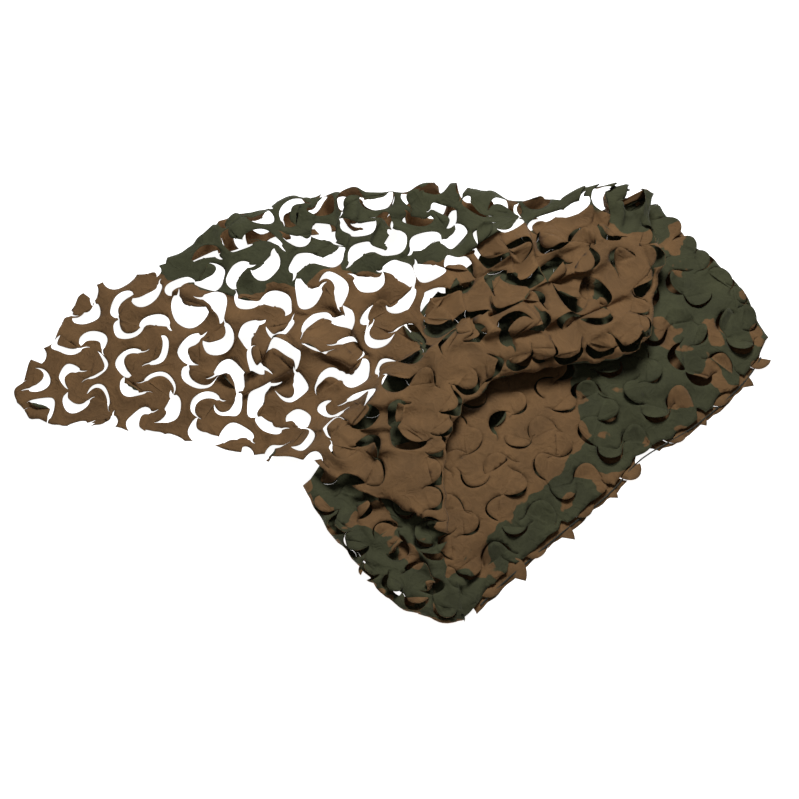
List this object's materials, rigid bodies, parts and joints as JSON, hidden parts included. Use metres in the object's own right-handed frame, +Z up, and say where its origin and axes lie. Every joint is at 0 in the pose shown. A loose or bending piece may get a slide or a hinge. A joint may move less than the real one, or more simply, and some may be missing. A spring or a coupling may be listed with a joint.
{
  "type": "camouflage net",
  "caption": "Die-cut camouflage net with crescent gaps, folded back and forth into a packet with its top layer drawn out to one side, lying on a surface.",
  "frame": {"origin": "on the surface under the middle of the net's box in plan", "axes": "+X from the open wing at the left to the packet at the right, +Y from the front hem to the rear ridge, +Z up from the surface"},
  "size_m": [1.4045, 0.8934, 0.1151],
  "materials": {
    "net_cloth": "matt coated woven sheet, printed brown and olive green on both faces",
    "cord": "thin dark twisted cord"
  },
  "bodies": {
    "root": {"net": "net_cloth", "edge_cord": "cord"}
  },
  "joints": []
}
